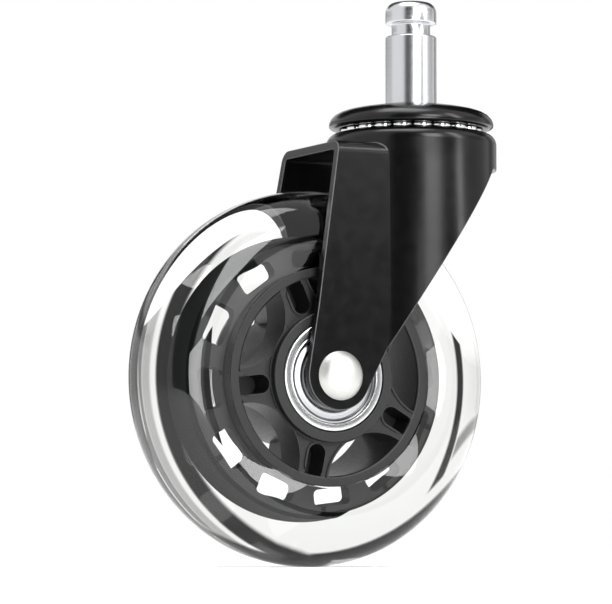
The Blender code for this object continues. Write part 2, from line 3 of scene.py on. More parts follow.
import bpy
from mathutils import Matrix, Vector


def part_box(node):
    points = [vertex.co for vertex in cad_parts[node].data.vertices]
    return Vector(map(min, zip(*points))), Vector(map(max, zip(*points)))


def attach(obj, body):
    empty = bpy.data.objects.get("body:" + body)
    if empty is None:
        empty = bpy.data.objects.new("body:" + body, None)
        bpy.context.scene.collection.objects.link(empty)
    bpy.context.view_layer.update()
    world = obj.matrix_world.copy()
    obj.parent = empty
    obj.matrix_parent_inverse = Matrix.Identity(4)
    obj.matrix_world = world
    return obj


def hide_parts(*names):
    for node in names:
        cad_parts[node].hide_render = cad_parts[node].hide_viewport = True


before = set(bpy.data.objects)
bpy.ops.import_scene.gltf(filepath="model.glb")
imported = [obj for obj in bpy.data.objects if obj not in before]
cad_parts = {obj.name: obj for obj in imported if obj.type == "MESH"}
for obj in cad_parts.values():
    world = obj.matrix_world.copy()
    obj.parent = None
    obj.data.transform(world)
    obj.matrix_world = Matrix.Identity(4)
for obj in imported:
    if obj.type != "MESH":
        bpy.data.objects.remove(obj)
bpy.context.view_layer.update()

# Outlines and sizes are in millimetres until a mesh is made from them.
MM = 0.001
MERGE = 0.000002
SLIVER = 0.004
NEARLY_FLAT = math.radians(0.3)
ORDER_FROM = (0.137, -0.211, 0.173)
SMOOTH_BELOW = math.radians(32)
PI2 = 2 * math.pi


# ---------------------------------------------------------------- places taken from the frame

def span(node):
    """The lowest and highest corners of a CAD node, in millimetres."""
    low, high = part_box(node)
    return Vector(low) / MM, Vector(high) / MM


STEM_LOW, STEM_HIGH = span("stem")
CAP_HIGH = span("upper_race_cap")[1]
CUP_LOW, CUP_HIGH = span("lower_race_cup")
FORK_HIGH = span("fork")[1]
TYRE_LOW, TYRE_HIGH = span("tyre")
CORE_LOW, CORE_HIGH = span("hub_core")
RIVET_LOW, RIVET_HIGH = span("axle_rivet")
BALL_LOW, BALL_HIGH = span("upper_ball_01")

AXLE = (TYRE_LOW + TYRE_HIGH) / 2
WHEEL_R = (TYRE_HIGH.x - TYRE_LOW.x) / 2
TYRE_HALF = TYRE_HIGH.y
FLOOR_Z = TYRE_LOW.z
BALL_R = (BALL_HIGH.z - BALL_LOW.z) / 2
BALL_Z = (BALL_HIGH.z + BALL_LOW.z) / 2
TRACK_R = (BALL_HIGH.x + BALL_LOW.x) / 2


# ---------------------------------------------------------------- outlines

def arc(centre, radius, start, end, count):
    """Points on an arc from one angle to another, in degrees."""
    turns = [math.radians(start + (end - start) * i / (count - 1)) for i in range(count)]
    return [(centre[0] + radius * math.cos(t), centre[1] + radius * math.sin(t)) for t in turns]


def filleted(corners, bits=5):
    """Rounds the corners of a closed outline: a corner is (across, up) or (across, up, its radius)."""
    outline = []
    for index, corner in enumerate(corners):
        here = Vector(corner[:2])
        if len(corner) == 2:
            outline.append(tuple(here))
            continue
        radius = corner[2]
        before = (Vector(corners[index - 1][:2]) - here).normalized()
        after = (Vector(corners[(index + 1) % len(corners)][:2]) - here).normalized()
        half = before.angle(after) / 2
        middle = here + (before + after).normalized() * radius / math.sin(half)
        first = here + before * radius / math.tan(half) - middle
        last = here + after * radius / math.tan(half) - middle
        for bit in range(bits):
            share = bit / (bits - 1)
            outline.append(tuple(middle + (first.lerp(last, share)).normalized() * radius))
    return outline


def swung(outline, degrees):
    """The outline turned about the axle; angles run from +X towards +Z."""
    cos, sin = math.cos(math.radians(degrees)), math.sin(math.radians(degrees))
    return [(AXLE.x + x * cos - z * sin, AXLE.z + x * sin + z * cos) for x, z in outline]


def rounded_bar(start, end, half_width, corner, bits=6):
    """A bar along +X with rounded corners."""
    return filleted(
        [(start, half_width, corner), (start, -half_width, corner),
         (end, -half_width, corner), (end, half_width, corner)], bits)


# ---------------------------------------------------------------- modelling by operators

def select_only(*objects):
    """Selects these objects alone, the first of them active."""
    bpy.ops.object.select_all(action="DESELECT")
    for obj in objects:
        obj.select_set(True)
    bpy.context.view_layer.objects.active = objects[0]


def drawn_edge(name, points, closed=True):
    """A plane merged to one vertex, which is extruded from point to point."""
    bpy.ops.object.select_all(action="DESELECT")
    bpy.ops.mesh.primitive_plane_add(size=MM, location=points[0])
    obj = bpy.context.object
    obj.name = name
    obj.data.name = name
    bpy.ops.object.transform_apply(location=True, rotation=True, scale=True)
    bpy.ops.object.mode_set(mode="EDIT")
    bpy.ops.mesh.select_all(action="SELECT")
    bpy.ops.mesh.merge(type="CENTER")
    ends = points[1:] + points[:1] if closed else points[1:]
    for here, there in zip(points, ends):
        bpy.ops.mesh.extrude_vertices_move(TRANSFORM_OT_translate={"value": there - here})
    bpy.ops.mesh.select_all(action="SELECT")
    bpy.ops.mesh.remove_doubles(threshold=MERGE)
    return obj


def close_up(obj):
    """Merges the seam and the poles, turns the normals outwards and leaves edit mode."""
    bpy.ops.mesh.select_all(action="SELECT")
    bpy.ops.mesh.remove_doubles(threshold=MERGE)
    bpy.ops.mesh.normals_make_consistent(inside=False)
    bpy.ops.mesh.select_all(action="DESELECT")
    bpy.ops.object.mode_set(mode="OBJECT")
    return obj


def turned(name, outline, steps=128, along_y=False, centre=Vector((0, 0, 0))):
    """Spins a closed outline of (radius, height) points round Z or, on the wheel, round the axle."""
    axis = Vector((0, 1, 0)) if along_y else Vector((0, 0, 1))
    points = [(centre + Vector((radius, 0, 0)) + axis * height) * MM for radius, height in outline]
    on_axis = outline[0][0] == 0 and outline[-1][0] == 0
    obj = drawn_edge(name, points, closed=not on_axis)
    bpy.ops.mesh.select_all(action="SELECT")
    bpy.ops.mesh.spin(steps=steps, angle=PI2, center=centre * MM, axis=axis)
    return close_up(obj)


def on_axle(name, outline, steps=128):
    """A part turned about the axle, its heights measured along Y from the wheel's middle."""
    return turned(name, outline, steps, along_y=True, centre=AXLE)


def slab(name, outline, low, high, along="Y"):
    """Fills a closed outline and extrudes it along Y or X."""
    if along == "Y":
        points = [Vector((a, low, b)) * MM for a, b in outline]
        out = Vector((0, high - low, 0)) * MM
    else:
        points = [Vector((low, a, b)) * MM for a, b in outline]
        out = Vector((high - low, 0, 0)) * MM
    obj = drawn_edge(name, points)
    bpy.ops.mesh.edge_face_add()
    bpy.ops.mesh.extrude_region_move(TRANSFORM_OT_translate={"value": out})
    return close_up(obj)


def copied(obj):
    """A copy with a mesh of its own, left selected."""
    select_only(obj)
    bpy.ops.object.duplicate(linked=False)
    return bpy.context.object


def ring_of(obj, count):
    """Copies a piece round the axle and joins the copies into one."""
    pieces = [obj]
    for index in range(1, count):
        pieces.append(copied(obj))
        bpy.ops.transform.rotate(
            value=PI2 * index / count, orient_axis="Y", center_override=AXLE * MM)
    select_only(*pieces)
    bpy.ops.object.join()
    bpy.ops.object.transform_apply(location=True, rotation=True, scale=True)
    return bpy.context.object


def combine(obj, cutter, operation="DIFFERENCE"):
    """Applies an exact Boolean and deletes the cutter."""
    step = obj.modifiers.new("cut", "BOOLEAN")
    step.object = cutter
    step.operation = operation
    step.solver = "EXACT"
    select_only(obj)
    bpy.ops.object.modifier_apply(modifier=step.name)
    bpy.data.objects.remove(cutter)
    return obj


def clean_cuts(obj):
    """Puts a Boolean's result in a fixed order, merges its slivers and joins faces in one plane."""
    select_only(obj)
    bpy.context.scene.cursor.location = ORDER_FROM
    bpy.ops.object.mode_set(mode="EDIT")
    bpy.ops.mesh.select_all(action="SELECT")
    bpy.ops.mesh.sort_elements(type="CURSOR_DISTANCE", elements={"VERT", "EDGE", "FACE"})
    bpy.ops.mesh.remove_doubles(threshold=SLIVER * MM)
    bpy.ops.mesh.dissolve_limited(angle_limit=NEARLY_FLAT)
    bpy.ops.mesh.select_all(action="DESELECT")
    bpy.ops.object.mode_set(mode="OBJECT")
    return obj


def break_edges(obj, width, sharper_than, finish=-1):
    """Rounds every edge that turns more than the angle; the new faces may take another material slot."""
    step = obj.modifiers.new("edges", "BEVEL")
    step.width = width * MM
    step.segments = 2
    step.limit_method = "ANGLE"
    step.angle_limit = math.radians(sharper_than)
    step.use_clamp_overlap = False
    step.miter_outer = "MITER_ARC"
    step.material = finish
    select_only(obj)
    bpy.ops.object.modifier_apply(modifier=step.name)
    return obj


def smooth(obj):
    """Smooth shading that keeps sharp edges, with wide flat faces ruling the normals at their edges."""
    select_only(obj)
    bpy.ops.object.shade_smooth_by_angle(angle=SMOOTH_BELOW)
    step = obj.modifiers.new("normals", "WEIGHTED_NORMAL")
    step.keep_sharp = True
    step.weight = 80
    bpy.ops.object.modifier_apply(modifier=step.name)
    return obj


def fit(obj, material, body, slot, *nodes):
    """Gives a finished piece its material, its body and the CAD nodes that it stands for."""
    smooth(obj)
    if not obj.data.materials:
        obj.data.materials.append(material)
    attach(obj, body)
    if nodes:
        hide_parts(*nodes)
    return obj


# ---------------------------------------------------------------- materials

NOISE_SWING = {"From Min": 0.3, "From Max": 0.7}


def linear(code):
    """An sRGB hex value as linear colour."""
    parts = [int(code[i:i + 2], 16) / 255 for i in (1, 3, 5)]
    return (*[p / 12.92 if p <= 0.04045 else ((p + 0.055) / 1.055) ** 2.4 for p in parts], 1.0)


def per_mm(size):
    """The texture scale at which a pattern repeats every so many millimetres."""
    return 1 / (size * MM)


def link_into(node, **links):
    """Links a node's sockets to (node, output) pairs; a socket goes by its name, or by _ and its number."""
    for key, (source, output) in links.items():
        socket = int(key[1:]) if key[1:].isdigit() else key.replace("_", " ")
        node.id_data.links.new(source.outputs[output], node.inputs[socket])


def add_node(material, kind, settings=None, values=None, **links):
    """Adds one node with its settings, its socket values and its links."""
    node = material.node_tree.nodes.new("ShaderNode" + kind)
    for key, value in (settings or {}).items():
        setattr(node, key, value)
    for key, value in (values or {}).items():
        node.inputs[key].default_value = value
    link_into(node, **links)
    return node


def new_material(name, colour, roughness, metallic=0.0, **values):
    """A material with its mean colour, roughness and other even values on the shader's own sockets."""
    material = bpy.data.materials.new(name)
    material.use_nodes = True
    shader = material.node_tree.nodes["Principled BSDF"]
    shader.inputs["Base Color"].default_value = linear(colour)
    shader.inputs["Roughness"].default_value = roughness
    shader.inputs["Metallic"].default_value = metallic
    for key, value in values.items():
        shader.inputs[key.replace("_", " ")].default_value = value
    return material, shader


def around(material, centre):
    """Object coordinates measured from a centre given in millimetres."""
    coordinates = add_node(material, "TexCoord")
    return add_node(
        material, "Mapping", {"vector_type": "POINT"}, {"Location": tuple(-centre * MM)},
        Vector=(coordinates, "Object"))


def lathe_rings(material, spacing, along_z):
    """A noise that changes only along a turned part, or only with the distance from the axle."""
    if along_z:
        split = add_node(material, "SeparateXYZ", Vector=(around(material, Vector((0, 0, 0))), "Vector"))
        return add_node(
            material, "TexNoise", {"noise_dimensions": "1D"}, {"Scale": per_mm(spacing), "Detail": 3.0},
            W=(split, "Z"))
    centred = around(material, AXLE)
    flat = add_node(
        material, "VectorMath", {"operation": "MULTIPLY"}, {1: (1.0, 0.0, 1.0)}, _0=(centred, "Vector"))
    length = add_node(material, "VectorMath", {"operation": "LENGTH"}, None, _0=(flat, "Vector"))
    return add_node(
        material, "TexNoise", {"noise_dimensions": "1D"}, {"Scale": per_mm(spacing), "Detail": 3.0},
        W=(length, "Value"))


def bright_zinc_plate():
    """Turned steel under bright zinc: soft-edged reflections, from fine tool rings up the stem."""
    material, shader = new_material("bright_zinc_plate", "#D2D3D6", 0.28, 1.0)
    rings = lathe_rings(material, 0.35, along_z=True)
    sheen = add_node(
        material, "MapRange", None, {**NOISE_SWING, "To Min": 0.24, "To Max": 0.27},
        Value=(rings, "Fac"))
    shade = add_node(
        material, "Mix", {"data_type": "RGBA"}, {6: linear("#CFD0D3"), 7: linear("#D5D6D9")},
        _0=(rings, "Fac"))
    relief = add_node(
        material, "Bump", None, {"Strength": 0.08, "Distance": 0.0004 * MM},
        Height=(rings, "Fac"))
    link_into(shader, Roughness=(sheen, "Result"), Base_Color=(shade, 2), Normal=(relief, "Normal"))
    return material


def ground_bearing_steel():
    """Ground and lapped rings: bright, with grinding rings that turn round the axle."""
    material, shader = new_material("ground_bearing_steel", "#DFE0E2", 0.2, 1.0)
    rings = lathe_rings(material, 0.22, along_z=False)
    sheen = add_node(
        material, "MapRange", None, {**NOISE_SWING, "To Min": 0.16, "To Max": 0.28},
        Value=(rings, "Fac"))
    shade = add_node(
        material, "Mix", {"data_type": "RGBA"}, {6: linear("#CFD0D2"), 7: linear("#ECECEC")},
        _0=(rings, "Fac"))
    relief = add_node(
        material, "Bump", None, {"Strength": 0.4, "Distance": 0.004 * MM},
        Height=(rings, "Fac"))
    link_into(shader, Roughness=(sheen, "Result"), Base_Color=(shade, 2), Normal=(relief, "Normal"))
    return material


def polished_ball_steel():
    """Hardened balls: a near mirror, with the grease's thin film varying the gloss."""
    material, shader = new_material("polished_ball_steel", "#E6E7E9", 0.09, 1.0)
    film = add_node(
        material, "TexNoise", None, {"Scale": per_mm(0.9), "Detail": 2.0},
        Vector=(around(material, Vector((0, 0, 0))), "Vector"))
    sheen = add_node(
        material, "MapRange", None, {**NOISE_SWING, "To Min": 0.06, "To Max": 0.16},
        Value=(film, "Fac"))
    link_into(shader, Roughness=(sheen, "Result"))
    return material


def pressed_shield_steel():
    """Thin pressed sheet: satin, with rolling streaks and faint rings from the press tool."""
    material, shader = new_material("pressed_shield_steel", "#B9BABC", 0.27, 1.0)
    rings = lathe_rings(material, 0.5, along_z=False)
    sheen = add_node(
        material, "MapRange", None, {**NOISE_SWING, "To Min": 0.2, "To Max": 0.36},
        Value=(rings, "Fac"))
    shade = add_node(
        material, "Mix", {"data_type": "RGBA"}, {6: linear("#9C9DA0"), 7: linear("#C9CACC")},
        _0=(rings, "Fac"))
    relief = add_node(
        material, "Bump", None, {"Strength": 0.5, "Distance": 0.01 * MM},
        Height=(rings, "Fac"))
    link_into(shader, Roughness=(sheen, "Result"), Base_Color=(shade, 2), Normal=(relief, "Normal"))
    return material


def satin_rivet_steel():
    """A cold headed rivet under dull zinc: satin, with a fine even grit from barrel finishing."""
    material, shader = new_material("satin_rivet_steel", "#CBCBC8", 0.36, 1.0)
    grit = add_node(
        material, "TexNoise", None, {"Scale": per_mm(0.3), "Detail": 4.0},
        Vector=(around(material, AXLE), "Vector"))
    sheen = add_node(
        material, "MapRange", None, {**NOISE_SWING, "To Min": 0.4, "To Max": 0.5},
        Value=(grit, "Fac"))
    shade = add_node(
        material, "Mix", {"data_type": "RGBA"}, {6: linear("#BFBFBC"), 7: linear("#D6D6D3")},
        _0=(grit, "Fac"))
    relief = add_node(
        material, "Bump", None, {"Strength": 0.35, "Distance": 0.006 * MM},
        Height=(grit, "Fac"))
    link_into(shader, Roughness=(sheen, "Result"), Base_Color=(shade, 2), Normal=(relief, "Normal"))
    return material


def gloss_black_powder_coat():
    """Baked black coat on pressed steel: deep gloss over a slight orange peel a few mm across."""
    material, shader = new_material(
        "gloss_black_powder_coat", "#0B0B0C", 0.22, Specular_IOR_Level=0.35)
    peel = add_node(
        material, "TexNoise", None, {"Scale": per_mm(2.2), "Detail": 1.5, "Roughness": 0.4},
        Vector=(around(material, Vector((0, 0, 0))), "Vector"))
    sheen = add_node(
        material, "MapRange", None, {**NOISE_SWING, "To Min": 0.21, "To Max": 0.24},
        Value=(peel, "Fac"))
    shade = add_node(
        material, "Mix", {"data_type": "RGBA"}, {6: linear("#060607"), 7: linear("#0A0A0B")},
        _0=(peel, "Fac"))
    relief = add_node(
        material, "Bump", None, {"Strength": 0.15, "Distance": 0.004 * MM},
        Height=(peel, "Fac"))
    link_into(shader, Roughness=(sheen, "Result"), Base_Color=(shade, 2), Normal=(relief, "Normal"))
    return material


def thin_coat_and_painted_edge_highlight():
    """The powder coat where it draws thin over a sheared edge, greyer and duller with fine wear; this grey
    on the bevels is also a painted highlight along the fork's edges.
    """
    material, shader = new_material("thin_coat_and_painted_edge_highlight", "#3A3A3C", 0.34, 0.25)
    wear = add_node(
        material, "TexNoise", None, {"Scale": per_mm(0.8), "Detail": 3.0},
        Vector=(around(material, Vector((0, 0, 0))), "Vector"))
    sheen = add_node(
        material, "MapRange", None, {**NOISE_SWING, "To Min": 0.28, "To Max": 0.42},
        Value=(wear, "Fac"))
    shade = add_node(
        material, "Mix", {"data_type": "RGBA"}, {6: linear("#2C2C2E"), 7: linear("#5A5A5C")},
        _0=(wear, "Fac"))
    link_into(shader, Roughness=(sheen, "Result"), Base_Color=(shade, 2))
    return material


def moulded_black_nylon():
    """Glass filled nylon from a spark eroded mould: satin black with a fine even grain."""
    material, shader = new_material("moulded_black_nylon", "#0C0D0E", 0.36)
    grain = add_node(
        material, "TexNoise", None, {"Scale": per_mm(0.7), "Detail": 2.0},
        Vector=(around(material, AXLE), "Vector"))
    sheen = add_node(
        material, "MapRange", None, {**NOISE_SWING, "To Min": 0.38, "To Max": 0.46},
        Value=(grain, "Fac"))
    shade = add_node(
        material, "Mix", {"data_type": "RGBA"}, {6: linear("#09090B"), 7: linear("#0E0F10")},
        _0=(grain, "Fac"))
    relief = add_node(
        material, "Bump", None, {"Strength": 0.2, "Distance": 0.004 * MM},
        Height=(grain, "Fac"))
    link_into(shader, Roughness=(sheen, "Result"), Base_Color=(shade, 2), Normal=(relief, "Normal"))
    return material


def bonded_black_nylon():
    """The same nylon where the tyre is cast onto it: wetted by the urethane, so it hardly glints."""
    material, shader = new_material(
        "bonded_black_nylon", "#0E0F11", 0.6, Specular_IOR_Level=0.06)
    grain = add_node(
        material, "TexNoise", None, {"Scale": per_mm(1.2), "Detail": 2.0},
        Vector=(around(material, AXLE), "Vector"))
    shade = add_node(
        material, "Mix", {"data_type": "RGBA"}, {6: linear("#0C0D0E"), 7: linear("#121315")},
        _0=(grain, "Fac"))
    link_into(shader, Base_Color=(shade, 2))
    return material


def cast_clear_urethane():
    """Clear cast urethane from a polished mould: glassy, with a long soft ripple left by the pour."""
    material, shader = new_material(
        "cast_clear_urethane", "#F7F8F6", 0.02, IOR=1.49, Transmission_Weight=1.0)
    ripple = add_node(
        material, "TexNoise", None, {"Scale": per_mm(9.0), "Detail": 1.0},
        Vector=(around(material, AXLE), "Vector"))
    sheen = add_node(
        material, "MapRange", None, {**NOISE_SWING, "To Min": 0.01, "To Max": 0.03},
        Value=(ripple, "Fac"))
    relief = add_node(
        material, "Bump", None, {"Strength": 0.25, "Distance": 0.02 * MM},
        Height=(ripple, "Fac"))
    link_into(shader, Roughness=(sheen, "Result"), Normal=(relief, "Normal"))
    return material


def studio_paper():
    """Matt white paper, lit a little from below, with a faint mottle that only breaks up the shading."""
    material, shader = new_material(
        "studio_paper", "#EEEEEE", 0.85, Emission_Color=linear("#FFFFFF"), Emission_Strength=0.16)
    mottle = add_node(
        material, "TexNoise", None, {"Scale": per_mm(6.0), "Detail": 2.0},
        Vector=(around(material, AXLE), "Vector"))
    shade = add_node(
        material, "Mix", {"data_type": "RGBA"}, {6: linear("#ECECEC"), 7: linear("#EFEFEF")},
        _0=(mottle, "Fac"))
    link_into(shader, Base_Color=(shade, 2))
    return material


# ---------------------------------------------------------------- the stem and the swivel races

PEEN_PROUD = 1.7
PEEN_TALL = 1.7
PIN_UNDER = 0.3
PIN_SEAT = 2.7
NECK_DEEP = 1.3
NECK_LOW = 7.0
NECK_HIGH = 4.7
NECK_SLOPE = 0.2
BALL_GAP = 0.15


def make_stem(steel):
    """The grip stem with its neck groove, and the kingpin that it is turned in one with."""
    head_r = (STEM_HIGH.x - STEM_LOW.x) / 2
    body_r = head_r - PEEN_PROUD
    pin_r, neck_r = body_r - PIN_UNDER, body_r - NECK_DEEP
    foot, seat, top = STEM_LOW.z, CAP_HIGH.z - PIN_SEAT, STEM_HIGH.z
    outline = filleted([
        (0, foot), (head_r, foot, 0.85), (head_r, foot + PEEN_TALL, 0.2),
        (pin_r, foot + PEEN_TALL), (pin_r, seat), (body_r, seat),
        (body_r, top - NECK_LOW - NECK_SLOPE, 0.35), (neck_r, top - NECK_LOW, 0.25),
        (neck_r, top - NECK_HIGH, 0.25), (body_r, top - NECK_HIGH + NECK_SLOPE, 0.4),
        (body_r, top - 0.35, 2.1), (body_r - 2.0, top, 1.2), (0, top)])
    stem = turned("grip_stem", outline, steps=160)
    return fit(stem, steel, "stem_assembly", "plated_steel", "stem")


def make_cap(black):
    """The upper race: a pressed dish whose rolled edge stands over the balls."""
    rim = CAP_HIGH.x
    track = arc((TRACK_R, BALL_Z), BALL_R + BALL_GAP, 12, 168, 17)
    outline = [
        (5.6, 0), (6.4, -0.04), (8.0, -0.26), (10.0, -0.58), (12.0, -0.92), (13.6, -1.28), (14.9, -1.72),
        (15.9, -2.3), (16.6, -3.05), (rim - 0.06, -3.8), (rim, -4.25), (rim - 0.05, -4.6),
        (rim - 0.3, -4.88), (rim - 0.7, -5.03), (rim - 1.2, -5.05), (15.1, -5.05),
        *track, (10.15, -3.0), (9.55, -2.4), (5.6, -2.4)]
    cap = turned("race_cap", outline, steps=180)
    return fit(cap, black, "stem_assembly", "black_paint", "upper_race_cap")


def make_cup(steel):
    """The lower race, a small pressed cup under the fork's disc."""
    outline = filleted([
        (5.3, CUP_LOW.z, 0.2), (9.9, CUP_LOW.z, 0.8), (CUP_HIGH.x, CUP_LOW.z + 0.9, 0.4),
        (CUP_HIGH.x, CUP_HIGH.z, 0.2), (9.45, CUP_HIGH.z, 0.15), (9.45, CUP_LOW.z + 2.6, 0.5),
        (8.6, CUP_LOW.z + 1.9, 0.4), (5.3, CUP_LOW.z + 1.9, 0.2)])
    cup = turned("race_cup", outline, steps=128)
    return fit(cup, steel, "stem_assembly", "plated_steel", "lower_race_cup")


def make_upper_balls(steel):
    """One ball, cast round from a subdivided cube, and a copy at each CAD ball's place."""
    names = sorted(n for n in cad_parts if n.startswith("upper_ball_"))
    bpy.ops.object.select_all(action="DESELECT")
    bpy.ops.mesh.primitive_cube_add(size=2 * BALL_R * MM, location=(0, 0, 0))
    first = bpy.context.object
    bpy.ops.object.mode_set(mode="EDIT")
    bpy.ops.mesh.select_all(action="SELECT")
    bpy.ops.mesh.subdivide(number_cuts=9)
    bpy.ops.object.mode_set(mode="OBJECT")
    step = first.modifiers.new("round", "CAST")
    step.factor = 1.0
    step.size = BALL_R * MM
    step.use_radius_as_size = False
    bpy.ops.object.modifier_apply(modifier=step.name)
    for node in names:
        low, high = span(node)
        ball = first if node == names[-1] else copied(first)
        ball.name = node + "_polished"
        ball.data.name = ball.name
        ball.location = (low + high) / 2 * MM
        select_only(ball)
        bpy.ops.object.transform_apply(location=True, rotation=True, scale=True)
        fit(ball, steel, "upper_ball_row", "bearing_steel", node)


# ---------------------------------------------------------------- the fork

SHEET = 1.8
PLATE_TOP = -9.5
PLATE_HALF = 12.9
PLATE_BEND = 2.5
LEG_OUTER = 14.6
LEG_STRAIGHT_TOP = -43.0
FORK_R = 17.6
FLARE_R = 20.0
SKIRT_Z = -13.7
SKIRT_X = 12.5
LEG_END_R = 6.9
LEG_FRONT_X = -23.2
LEG_BACK_SLOPE = 62.0
BACK_BOW = 1.6
PAST_LEGS = -80.0
DISC_LIP_R = 14.85
POCKET_R = 10.7
POCKET_TOP = -8.0
PIVOT_R = 6.0
AXLE_HOLE_R = 3.3
SHY = 0.02
STRADDLE = 0.3


def channel(name, inset, low_x, high_x, bottom):
    """The front half of the fork as a solid block, or its inside when inset by the sheet."""
    top = PLATE_TOP - inset
    half_top = PLATE_HALF - inset
    half_leg = LEG_OUTER - inset
    bend = PLATE_BEND - inset
    right = [
        (half_leg, bottom), (half_leg, LEG_STRAIGHT_TOP),
        *arc((half_top - bend, top - bend), bend, 0, 90, 9)]
    left = [(-y, z) for y, z in reversed(right)]
    return slab(name, right + left, low_x, high_x, along="X")


def off_grid(cutter):
    """Turns a round cutter a little, so that its edges don't fall on the edges of what it cuts."""
    cutter.rotation_euler.z = math.radians(0.7)
    return cutter


def leg_outline():
    """The fork from its side: a front edge, a round end about the axle and a back edge bowed inwards."""
    reach = math.hypot(LEG_FRONT_X - AXLE.x, PLATE_TOP - AXLE.z)
    lean = math.degrees(math.atan2(PLATE_TOP - AXLE.z, LEG_FRONT_X - AXLE.x))
    front_touch = lean + math.degrees(math.acos(LEG_END_R / reach))
    back_touch = 360 + LEG_BACK_SLOPE - 90
    end = arc((AXLE.x, AXLE.z), LEG_END_R, front_touch, back_touch, 40)
    foot, skirt = Vector(end[-1]), Vector((SKIRT_X, SKIRT_Z))
    run = skirt - foot
    inwards = Vector((-run.y, run.x)).normalized()
    bowed = [
        tuple(foot + run * share + inwards * BACK_BOW * 4 * share * (1 - share))
        for share in [i / 24 for i in range(1, 25)]]
    return [
        (LEG_FRONT_X, SHEET), (LEG_FRONT_X, PLATE_TOP), *end, *bowed,
        (FORK_R + SHEET, SKIRT_Z), (FORK_R + SHEET, SHEET)]


def make_fork(black, edge):
    """One pressed sheet: a race disc, a half round back and two legs, cut to the side outline."""
    deep, top = PAST_LEGS, FORK_HIGH.z
    outside = [
        (0, top - 0.3), (POCKET_R + 0.05, top - 0.3), (DISC_LIP_R, top),
        *arc((FORK_R - 2.5, top - 2.5), 2.5, 90, 0, 12),
        (FORK_R, SKIRT_Z), (FLARE_R, AXLE.z), (FLARE_R, deep), (0, deep)]
    fork = turned("pressed_fork", outside, steps=144)
    combine(fork, channel("fork_front", SHY, -60.0, -STRADDLE, deep - 1), "UNION")
    inner = FORK_R - SHEET
    hollow = [
        (0, POCKET_TOP), (POCKET_R, POCKET_TOP), (POCKET_R + 1.1, POCKET_TOP - 1.15),
        *arc((inner - 1.1, POCKET_TOP - 2.25), 1.1, 90, 0, 6),
        (inner, SKIRT_Z), (FLARE_R - SHEET, AXLE.z), (FLARE_R - SHEET, deep - SHEET), (0, deep - SHEET)]
    combine(fork, turned("hollow", hollow, steps=144))
    combine(fork, channel("leg_gap", SHEET + SHY, -62.0, STRADDLE, deep - 3))
    track = arc((TRACK_R, BALL_Z), BALL_R + BALL_GAP, 90, -270, 33)[:-1]
    combine(fork, off_grid(turned("ball_track", track, steps=144)))
    hole = [(0, 0), (PIVOT_R, 0), (PIVOT_R, -20), (0, -20)]
    combine(fork, off_grid(turned("pivot_hole", hole, steps=64)))
    combine(fork, slab("side_outline", leg_outline(), -40, 40), "INTERSECT")
    bore = [(0, 30), (AXLE_HOLE_R, 30), (AXLE_HOLE_R, -30), (0, -30)]
    combine(fork, on_axle("axle_hole", bore, steps=48))
    clean_cuts(fork)
    fork.data.materials.append(black)
    # The bevels take the second slot, a greyer coat that paints a highlight along the fork's edges as well
    # as thin coat.
    fork.data.materials.append(edge)
    break_edges(fork, 0.2, sharper_than=48, finish=1)
    return fit(fork, black, "fork_assembly", "black_paint", "fork")


# ---------------------------------------------------------------- the axle and the bearings

RIVET_SHANK_R = 3.0
HEAD_GAP = 0.15
BEARING_WIDE = 7.0
OUTER_BORE_R = 9.5
RACE_LIP_R = 9.0
RACE_LIP_SUNK = 0.9
INNER_OUTSIDE_R = 6.0
INNER_BORE_R = 4.1
SHIELD_SUNK = 0.55
SHIELD_SKIN = 0.24


def make_rivet(satin):
    """The axle rivet, its two ends headed to low domes over the legs."""
    head_r = (RIVET_HIGH.x - RIVET_LOW.x) / 2
    end = RIVET_HIGH.y
    seat = LEG_OUTER + HEAD_GAP
    dome = [
        (0, end), (1.2, end - 0.05), (2.3, end - 0.24), (3.3, end - 0.6), (4.1, end - 1.1),
        (4.6, end - 1.62), (head_r, end - 2.0), (head_r, seat + 0.1), (head_r - 0.12, seat),
        (RIVET_SHANK_R, seat)]
    outline = dome + [(r, -y) for r, y in reversed(dome)]
    rivet = on_axle("axle_rivet_domed", outline, steps=96)
    return fit(rivet, satin, "fork_assembly", "plated_steel", "axle_rivet")


def make_bearing(side, sign, steel, shield_steel):
    """One 22 mm ball bearing's two rings and its outer shield, which is rolled to a raised bead."""
    low, high = span(side + "_outer_ring")
    face = high.y if sign > 0 else -low.y
    back = face - BEARING_WIDE
    outer_r = high.x - AXLE.x
    ring = filleted([
        (outer_r, face, 0.35), (OUTER_BORE_R, face, 0.12),
        (OUTER_BORE_R, face - RACE_LIP_SUNK, 0.1), (RACE_LIP_R, face - RACE_LIP_SUNK, 0.1),
        (RACE_LIP_R, back + RACE_LIP_SUNK, 0.1), (OUTER_BORE_R, back + RACE_LIP_SUNK, 0.1),
        (OUTER_BORE_R, back, 0.12), (outer_r, back, 0.35)])
    outer = on_axle(f"{side}_bearing_outer_ring", [(r, sign * y) for r, y in ring], steps=160)
    fit(outer, steel, "wheel_assembly", "bearing_steel", side + "_outer_ring")
    ring = filleted([
        (INNER_OUTSIDE_R, face, 0.25), (INNER_OUTSIDE_R, back, 0.25),
        (INNER_BORE_R, back, 0.3), (INNER_BORE_R, face, 0.3)])
    inner = on_axle(f"{side}_bearing_inner_ring", [(r, sign * y) for r, y in ring], steps=128)
    fit(inner, steel, "fork_assembly", "bearing_steel", side + "_inner_ring")
    mid = face - SHIELD_SUNK
    top = [
        (6.3, mid - 0.25), (6.5, mid - 0.05), (6.9, mid + 0.12), (7.5, mid + 0.14), (7.9, mid + 0.02),
        (8.2, mid - 0.14), (8.5, mid - 0.16), (8.8, mid + 0.02), (9.05, mid + 0.18), (9.3, mid + 0.12),
        (9.42, mid - 0.1)]
    under = [(r, y - SHIELD_SKIN) for r, y in reversed(top)]
    shield = on_axle(f"{side}_bearing_shield", [(r, sign * y) for r, y in top + under], steps=160)
    fit(shield, shield_steel, "wheel_assembly", "shield_steel", side + "_outer_shield")


# ---------------------------------------------------------------- the wheel

